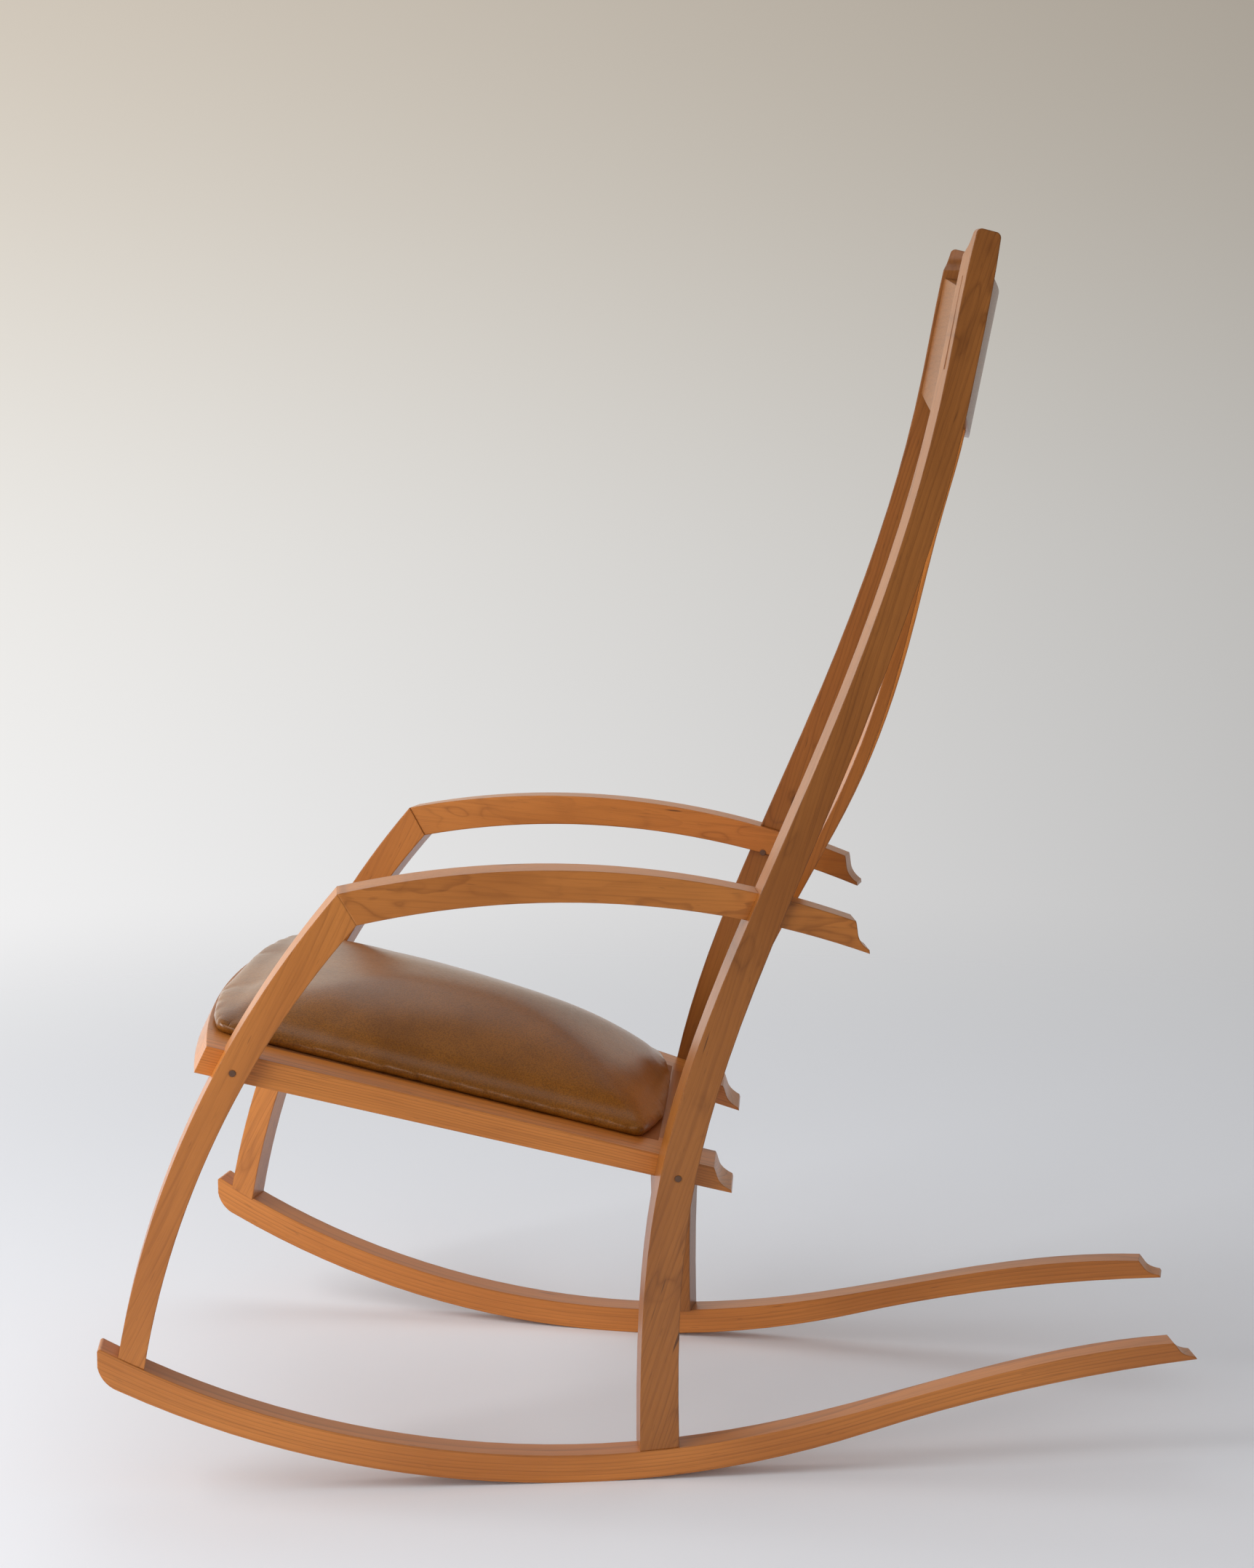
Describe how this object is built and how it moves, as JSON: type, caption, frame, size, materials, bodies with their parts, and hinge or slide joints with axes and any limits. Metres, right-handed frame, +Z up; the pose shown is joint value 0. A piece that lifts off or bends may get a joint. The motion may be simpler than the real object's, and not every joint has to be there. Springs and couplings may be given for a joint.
{
  "type": "rocking chair",
  "caption": "Wooden rocking chair with mitred bowed arms, curved slat back, bowed crest, long runners and a domed leather seat cushion.",
  "frame": {"origin": "centre of the bounding box at floor level, under the rockers", "axes": "+X to the sitter's left, +Y to the back, +Z up; the chair is symmetric about X = 0"},
  "size_m": [0.6304, 1.0934, 1.2319],
  "materials": {
    "cherry": "oil-rubbed satin",
    "peg_wood": "end grain, oiled",
    "plywood": "raw sanded",
    "leather": "waxed grain leather",
    "foam": "upholstery foam",
    "steel": "zinc plated"
  },
  "bodies": {
    "root": {"left_rocker": "cherry", "right_rocker": "cherry", "left_front_leg": "cherry", "right_front_leg": "cherry", "left_arm": "cherry", "right_arm": "cherry", "left_rear_post": "cherry", "right_rear_post": "cherry", "left_seat_rail": "cherry", "right_seat_rail": "cherry", "front_seat_rail": "cherry", "rear_seat_rail": "cherry", "crest_rail": "cherry", "back_slat_1": "cherry", "back_slat_2": "cherry", "back_slat_3": "cherry", "back_slat_4": "cherry", "back_slat_5": "cherry", "elbow_tongues": "cherry", "leg_pegs": "peg_wood", "post_pegs": "peg_wood", "arm_pegs": "peg_wood", "seat_board": "plywood", "board_screws": "steel", "seat_foam": "foam", "seat_leather": "leather"}
  },
  "joints": []
}
